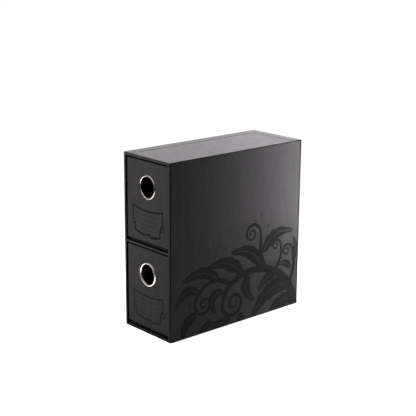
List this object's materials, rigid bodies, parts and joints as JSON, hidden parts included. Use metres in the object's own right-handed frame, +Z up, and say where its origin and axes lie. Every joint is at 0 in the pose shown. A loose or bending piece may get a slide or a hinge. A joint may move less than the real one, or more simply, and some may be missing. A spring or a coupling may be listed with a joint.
{
  "type": "playing card box with drawers",
  "caption": "Tall paper-wrapped card box with a shelf and pull-out drawers, each drawn by a metal finger ring.",
  "frame": {"origin": "centre of the case's footprint, on the surface it stands on", "axes": "+Z up, -Y out of the open mouth towards the person who pulls the drawers, +X to that person's right"},
  "size_m": [0.0878, 0.2196, 0.2221],
  "materials": {
    "board": "uncoated grey greyboard",
    "wrap_paper": "soft matt black coated paper with gloss varnish ornament",
    "lining_paper": "plain matt black paper",
    "face_paper": "soft matt charcoal paper with a gloss varnish label",
    "ring_metal": "bright nickel plate"
  },
  "bodies": {
    "case": {"back_sheet": "wrap_paper", "base_wrap": "wrap_paper", "case_back_board": "board", "case_bottom_board": "board", "case_left_board": "board", "case_lining": "lining_paper", "case_right_board": "board", "case_top_board": "board", "case_wrap": "wrap_paper", "shelf_board": "board", "shelf_cover": "wrap_paper"},
    "upper_drawer": {"upper_back_board": "board", "upper_finger_ring": "ring_metal", "upper_floor_board": "board", "upper_front_board": "board", "upper_front_cover": "face_paper", "upper_front_plate": "board", "upper_left_board": "board", "upper_right_board": "board", "upper_ring_washer": "ring_metal", "upper_tray_lining": "lining_paper", "upper_tray_wrap": "lining_paper"},
    "lower_drawer": {"lower_back_board": "board", "lower_finger_ring": "ring_metal", "lower_floor_board": "board", "lower_front_board": "board", "lower_front_cover": "face_paper", "lower_front_plate": "board", "lower_left_board": "board", "lower_right_board": "board", "lower_ring_washer": "ring_metal", "lower_tray_lining": "lining_paper", "lower_tray_wrap": "lining_paper"}
  },
  "joints": [
    {"name": "upper_drawer_slide", "type": "slide", "parent": "case", "child": "upper_drawer", "axis": [0, -1, 0], "range_m": [0, 0.215]},
    {"name": "lower_drawer_slide", "type": "slide", "parent": "case", "child": "lower_drawer", "axis": [0, -1, 0], "range_m": [0, 0.215]}
  ]
}
